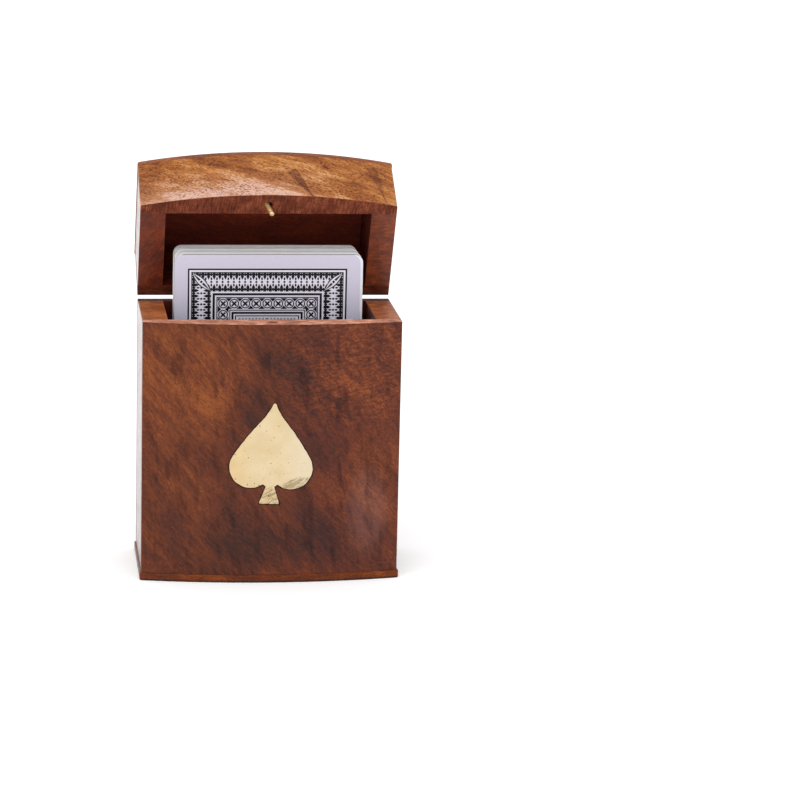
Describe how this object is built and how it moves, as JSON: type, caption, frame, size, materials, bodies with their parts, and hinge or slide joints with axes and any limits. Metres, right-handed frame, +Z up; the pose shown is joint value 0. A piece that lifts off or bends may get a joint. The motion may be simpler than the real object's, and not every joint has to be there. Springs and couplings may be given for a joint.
{
  "type": "playing card box",
  "caption": "Upright hardwood box for playing cards: bowed front with an inlaid brass spade, hinged flip-up lid with a brass catch pin, a deck of cards standing in the well.",
  "frame": {"origin": "on the underside of the base plate, midway between the side walls and midway between the flat back and the front corners", "axes": "+Z up, -Y towards the bowed front, +X to the right seen from the front"},
  "size_m": [0.085, 0.0637, 0.1355],
  "materials": {
    "polished_hardwood": "satin lacquer",
    "brass": "polished, lightly scratched",
    "card_stock": "coated",
    "printed_card_back": "coated, printed with a black border pattern"
  },
  "bodies": {
    "box_body": {"base_plate": "polished_hardwood", "body_front_panel": "polished_hardwood", "body_back_panel": "polished_hardwood", "body_left_side": "polished_hardwood", "body_right_side": "polished_hardwood", "floor_block": "polished_hardwood", "spade_inlay": "brass", "hinge_left_body_leaf": "brass", "hinge_right_body_leaf": "brass", "hinge_left_pin": "brass", "hinge_right_pin": "brass", "hinge_body_screws": "brass", "playing_cards": "card_stock", "front_card": "printed_card_back"},
    "lid": {"lid_front_panel": "polished_hardwood", "lid_back_panel": "polished_hardwood", "lid_left_side": "polished_hardwood", "lid_right_side": "polished_hardwood", "top_plate": "polished_hardwood", "catch_pin": "brass", "hinge_left_lid_leaf": "brass", "hinge_right_lid_leaf": "brass", "hinge_lid_screws": "brass"}
  },
  "joints": [
    {"name": "lid_hinge", "type": "hinge", "parent": "box_body", "child": "lid", "pos_m": [0, 0.02015, 0.0861], "axis": [-1, 0, 0], "range_deg": [-60, 120]}
  ]
}
